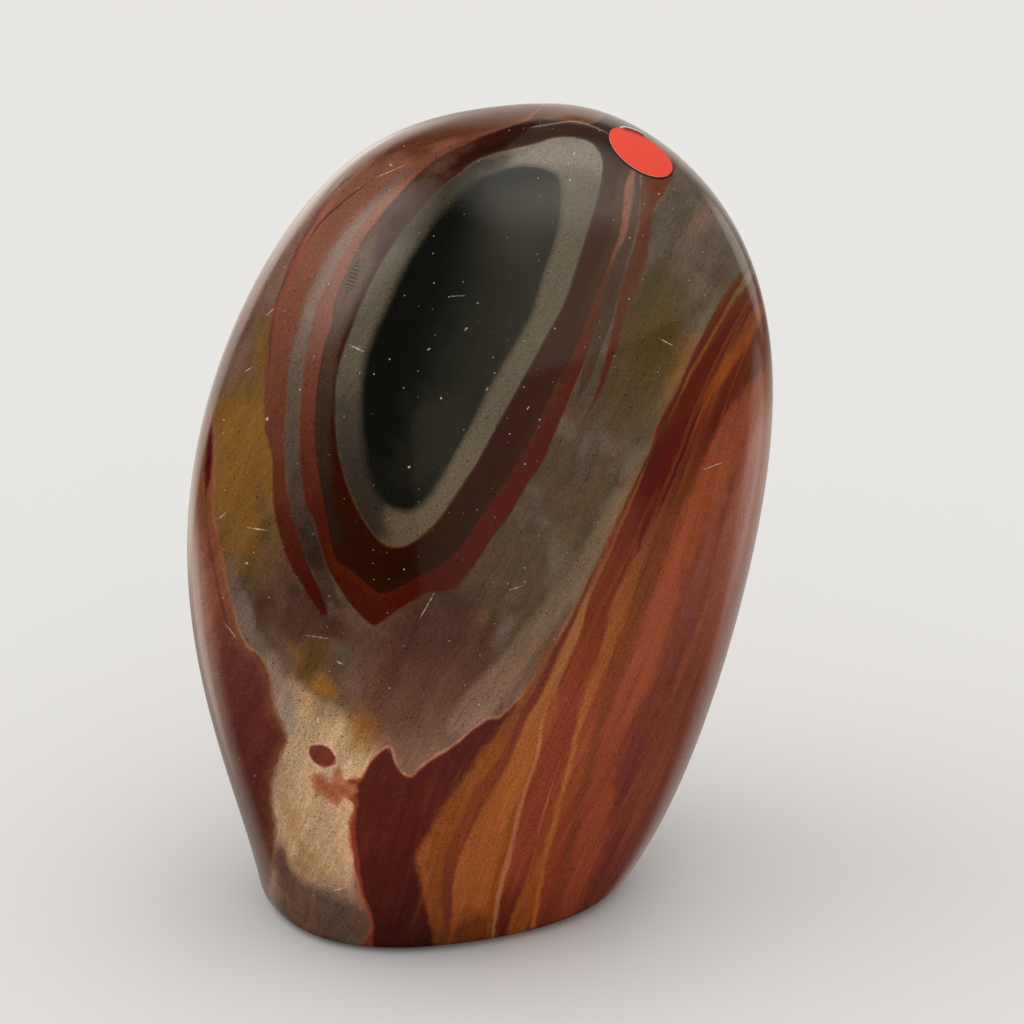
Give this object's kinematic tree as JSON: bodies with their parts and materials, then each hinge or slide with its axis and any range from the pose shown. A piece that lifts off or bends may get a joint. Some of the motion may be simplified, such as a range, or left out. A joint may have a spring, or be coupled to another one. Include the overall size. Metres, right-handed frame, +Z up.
{
  "type": "polished polychrome jasper freeform",
  "caption": "Polished upright jasper freeform with a flat sawn base and an eye-shaped marking, and a small blank round paper label near its top.",
  "frame": {"origin": "on the flat sawn base, under the middle of the stone's width and depth", "axes": "+Z up from the base to the domed top, -Y out of the side with the eye-shaped marking, +X to that side's right"},
  "size_m": [0.1051, 0.086, 0.1475],
  "materials": {
    "polished_jasper": "polished",
    "label_paper": "matte"
  },
  "bodies": {
    "root": {"stone": "polished_jasper", "paper_label": "label_paper"}
  },
  "joints": []
}
